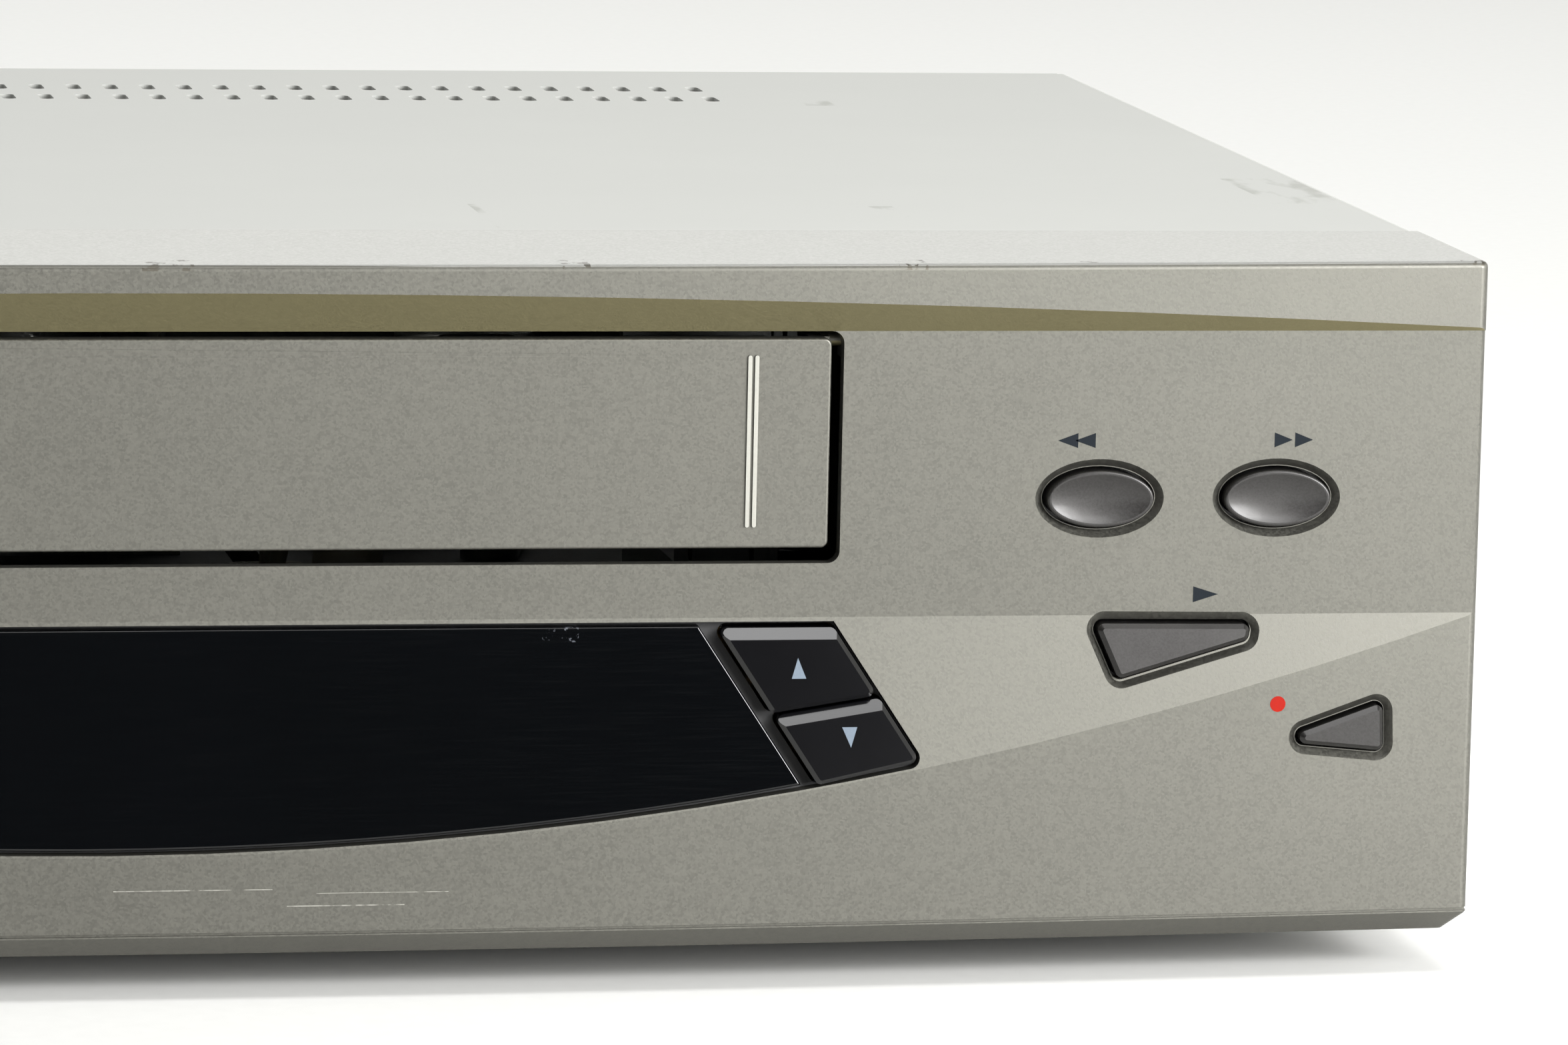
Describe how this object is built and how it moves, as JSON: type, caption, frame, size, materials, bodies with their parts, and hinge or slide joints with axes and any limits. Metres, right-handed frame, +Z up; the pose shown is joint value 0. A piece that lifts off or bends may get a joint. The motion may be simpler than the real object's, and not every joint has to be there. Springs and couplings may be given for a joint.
{
  "type": "front-loading video cassette recorder",
  "caption": "Low box-shaped cassette recorder with a bowed silver front, cassette flap, dark display window, keys and an inner loading deck.",
  "frame": {"origin": "on the floor plane, under the middle of the machine's bounding box", "axes": "+X to the right seen from the front, +Y from the front to the rear, +Z up"},
  "size_m": [0.38, 0.28, 0.1],
  "materials": {
    "painted_abs": "metallic silver paint on moulded ABS, fine sparkle, satin",
    "black_abs": "moulded black ABS, satin",
    "gloss_black_abs": "moulded black ABS, polished",
    "smoked_acrylic": "smoked acrylic, polished, nearly opaque",
    "key_abs": "metallic grey paint on moulded ABS, satin gloss",
    "spring_steel": "drawn spring wire",
    "circuit_board": "phenolic paper laminate, tan",
    "tube_glass": "display tube glass",
    "coated_steel": "pale silver-grey baked enamel on steel sheet",
    "zinc_steel": "bright zinc-plated steel",
    "foot_rubber": "moulded black rubber",
    "galvanised_steel": "zinc-coated steel sheet",
    "capacitor_sleeve": "dark shrunk sleeve on aluminium",
    "lamination_steel": "varnished core laminations with a taped winding",
    "tinplate": "tinned steel sheet",
    "nickel_plate": "nickel plate, bright",
    "cast_aluminium": "turned and die-cast aluminium",
    "machined_aluminium": "fine-turned aluminium",
    "white_acetal": "moulded acetal, off-white",
    "black_rubber": "ground black rubber"
  },
  "bodies": {
    "root": {"front_bezel": "painted_abs", "window_frame": "black_abs", "display_window": "smoked_acrylic", "flap_spring": "spring_steel", "front_board": "circuit_board", "button_switches": "black_abs", "display_tube": "tube_glass", "top_cover": "coated_steel", "cover_screws": "zinc_steel", "front_left_foot": "foot_rubber", "front_right_foot": "foot_rubber", "rear_left_foot": "foot_rubber", "rear_right_foot": "foot_rubber", "chassis_pan": "galvanised_steel", "rear_panel": "galvanised_steel", "main_board": "circuit_board", "inner_screws": "zinc_steel", "board_chips": "black_abs", "board_capacitors": "capacitor_sleeve", "power_board": "circuit_board", "transformer": "lamination_steel", "tuner_can": "tinplate", "aerial_sockets": "nickel_plate", "scart_sockets": "black_abs", "audio_sockets": "black_abs", "mains_inlet": "black_abs", "deck_plate": "galvanised_steel", "left_bracket": "galvanised_steel", "right_bracket": "galvanised_steel", "drum_base": "cast_aluminium", "drive_belt": "black_rubber", "erase_head": "nickel_plate", "audio_head": "nickel_plate", "loading_motor": "tinplate"},
    "flap": {"cassette_flap": "painted_abs"},
    "rewind_key": {"rewind_button": "key_abs"},
    "fast_forward_key": {"fast_forward_button": "key_abs"},
    "eject_key": {"eject_button": "key_abs"},
    "power_key": {"power_button": "key_abs"},
    "play_key": {"play_button": "key_abs"},
    "stop_key": {"stop_button": "key_abs"},
    "record_key": {"record_button": "key_abs"},
    "channel_up_key": {"channel_up_button": "gloss_black_abs"},
    "channel_down_key": {"channel_down_button": "gloss_black_abs"},
    "loading_slide": {"slide_frame": "galvanised_steel"},
    "holder": {"cassette_holder": "galvanised_steel"},
    "sync_shaft": {"loading_shaft": "zinc_steel"},
    "head_drum": {"upper_drum": "machined_aluminium"},
    "supply_table": {"supply_reel": "white_acetal"},
    "takeup_table": {"takeup_reel": "white_acetal"},
    "clutch": {"clutch_pulley": "white_acetal"},
    "capstan_wheel": {"capstan": "zinc_steel"},
    "idler_swing": {"idler_arm": "galvanised_steel"},
    "idler": {"idler_wheel": "black_rubber"},
    "pinch_lever": {"pinch_arm": "galvanised_steel"},
    "pinch_wheel": {"pinch_roller": "black_rubber"},
    "supply_carriage": {"supply_guide": "white_acetal"},
    "takeup_carriage": {"takeup_guide": "white_acetal"},
    "tension_lever": {"tension_arm": "galvanised_steel"},
    "cam": {"cam_gear": "white_acetal"}
  },
  "joints": [
    {"name": "flap_hinge", "type": "hinge", "parent": "root", "child": "flap", "pos_m": [0, -0.1295, 0.0888], "axis": [1, 0, 0], "range_deg": [0, 88], "stiffness_Nm_per_rad": 0.004, "springref_deg": -17.19},
    {"name": "rewind_press", "type": "slide", "parent": "root", "child": "rewind_key", "axis": [0, 1, 0], "range_m": [0, 0.0008], "stiffness_N_per_m": 900, "springref_m": -0.0008},
    {"name": "fast_forward_press", "type": "slide", "parent": "root", "child": "fast_forward_key", "axis": [0, 1, 0], "range_m": [0, 0.0008], "stiffness_N_per_m": 900, "springref_m": -0.0008},
    {"name": "eject_press", "type": "slide", "parent": "root", "child": "eject_key", "axis": [0, 1, 0], "range_m": [0, 0.0008], "stiffness_N_per_m": 900, "springref_m": -0.0008},
    {"name": "power_press", "type": "slide", "parent": "root", "child": "power_key", "axis": [0, 1, 0], "range_m": [0, 0.0008], "stiffness_N_per_m": 900, "springref_m": -0.0008},
    {"name": "play_press", "type": "slide", "parent": "root", "child": "play_key", "axis": [0, 1, 0], "range_m": [0, 0.0008], "stiffness_N_per_m": 900, "springref_m": -0.0008},
    {"name": "stop_press", "type": "slide", "parent": "root", "child": "stop_key", "axis": [0, 1, 0], "range_m": [0, 0.0008], "stiffness_N_per_m": 900, "springref_m": -0.0008},
    {"name": "record_press", "type": "slide", "parent": "root", "child": "record_key", "axis": [0, 1, 0], "range_m": [0, 0.0008], "stiffness_N_per_m": 900, "springref_m": -0.0008},
    {"name": "channel_up_press", "type": "slide", "parent": "root", "child": "channel_up_key", "axis": [0, 1, 0], "range_m": [0, 0.0008], "stiffness_N_per_m": 900, "springref_m": -0.0008},
    {"name": "channel_down_press", "type": "slide", "parent": "root", "child": "channel_down_key", "axis": [0, 1, 0], "range_m": [0, 0.0008], "stiffness_N_per_m": 900, "springref_m": -0.0008},
    {"name": "loading_travel", "type": "slide", "parent": "root", "child": "loading_slide", "axis": [0, 1, 0], "range_m": [0, 0.05]},
    {"name": "holder_drop", "type": "slide", "parent": "loading_slide", "child": "holder", "axis": [0, 0, -1], "range_m": [0, 0.019]},
    {"name": "sync_shaft_turn", "type": "hinge", "parent": "root", "child": "sync_shaft", "pos_m": [0, -0.0381, 0.09315], "axis": [1, 0, 0], "range_deg": [0, 800]},
    {"name": "cam_turn", "type": "hinge", "parent": "root", "child": "cam", "pos_m": [-0.082, 0.0799, 0.0316], "axis": [0, 0, 1], "range_deg": [0, 151]},
    {"name": "drum_spin", "type": "hinge", "parent": "root", "child": "head_drum", "pos_m": [0, 0.0739, 0.0536], "axis": [0, 0.1045, 0.9945], "continuous": true},
    {"name": "supply_reel_spin", "type": "hinge", "parent": "root", "child": "supply_table", "pos_m": [-0.04625, -0.0281, 0.0316], "axis": [0, 0, 1], "continuous": true},
    {"name": "takeup_reel_spin", "type": "hinge", "parent": "root", "child": "takeup_table", "pos_m": [0.04625, -0.0281, 0.0316], "axis": [0, 0, 1], "continuous": true},
    {"name": "capstan_spin", "type": "hinge", "parent": "root", "child": "capstan_wheel", "pos_m": [0.056, 0.0439, 0.0316], "axis": [0, 0, 1], "continuous": true},
    {"name": "clutch_spin", "type": "hinge", "parent": "root", "child": "clutch", "pos_m": [0, -0.0161, 0.0316], "axis": [0, 0, 1], "continuous": true},
    {"name": "idler_swing", "type": "hinge", "parent": "root", "child": "idler_swing", "pos_m": [0, -0.0161, 0.036], "axis": [0, 0, 1], "range_deg": [-41, 41]},
    {"name": "idler_spin", "type": "hinge", "parent": "idler_swing", "child": "idler", "pos_m": [0, -0.0384, 0.0316], "axis": [0, 0, 1], "continuous": true},
    {"name": "pinch_swing", "type": "hinge", "parent": "root", "child": "pinch_lever", "pos_m": [0.084, 0.0679, 0.0326], "axis": [0, 0, -1], "range_deg": [0, 25], "stiffness_Nm_per_rad": 0.02, "springref_deg": -17.19},
    {"name": "pinch_roller_spin", "type": "hinge", "parent": "pinch_lever", "child": "pinch_wheel", "pos_m": [0.07721, 0.03827, 0.0316], "axis": [0, 0, 1], "continuous": true},
    {"name": "supply_guide_run", "type": "slide", "parent": "root", "child": "supply_carriage", "axis": [0, 1, 0], "range_m": [0, 0.072]},
    {"name": "takeup_guide_run", "type": "slide", "parent": "root", "child": "takeup_carriage", "axis": [0, 1, 0], "range_m": [0, 0.072]},
    {"name": "tension_swing", "type": "hinge", "parent": "root", "child": "tension_lever", "pos_m": [-0.084, 0.0479, 0.0326], "axis": [0, 0, 1], "range_deg": [0, 18], "stiffness_Nm_per_rad": 0.02, "springref_deg": -17.19}
  ],
  "couplings": [
    {"joint": "sync_shaft_turn", "follows": "loading_travel", "rad_per_m": 277.78},
    {"joint": "cam_turn", "follows": "loading_travel", "rad_per_m": 52.36},
    {"joint": "clutch_spin", "follows": "capstan_spin", "ratio": 0.87736},
    {"joint": "idler_spin", "follows": "capstan_spin", "ratio": -0.50135},
    {"joint": "takeup_guide_run", "follows": "supply_guide_run", "ratio": 1}
  ]
}
